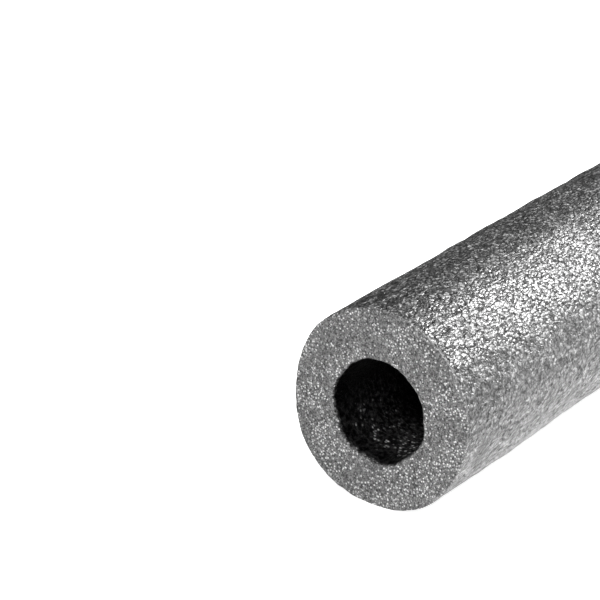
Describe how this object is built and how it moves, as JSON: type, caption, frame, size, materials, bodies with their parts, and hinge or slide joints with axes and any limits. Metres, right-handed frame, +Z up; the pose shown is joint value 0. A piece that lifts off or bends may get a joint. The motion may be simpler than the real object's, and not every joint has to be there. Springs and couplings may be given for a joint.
{
  "type": "pipe insulation tube",
  "caption": "Straight thick-walled closed-cell foam tube with an open round bore and square-cut ends, slipped over a pipe to lag it.",
  "frame": {"origin": "middle of the tube's length, on the surface it lies on, under its axis", "axes": "+X along the tube, from the end that the picture shows to the other end; +Z up; +Y across"},
  "size_m": [1, 0.0534, 0.0534],
  "materials": {
    "foam": "grey closed-cell polyethylene foam: pebbled skin with a satin sheen, matte speckled cut ends"
  },
  "bodies": {
    "root": {"insulation_tube": "foam"}
  },
  "joints": []
}
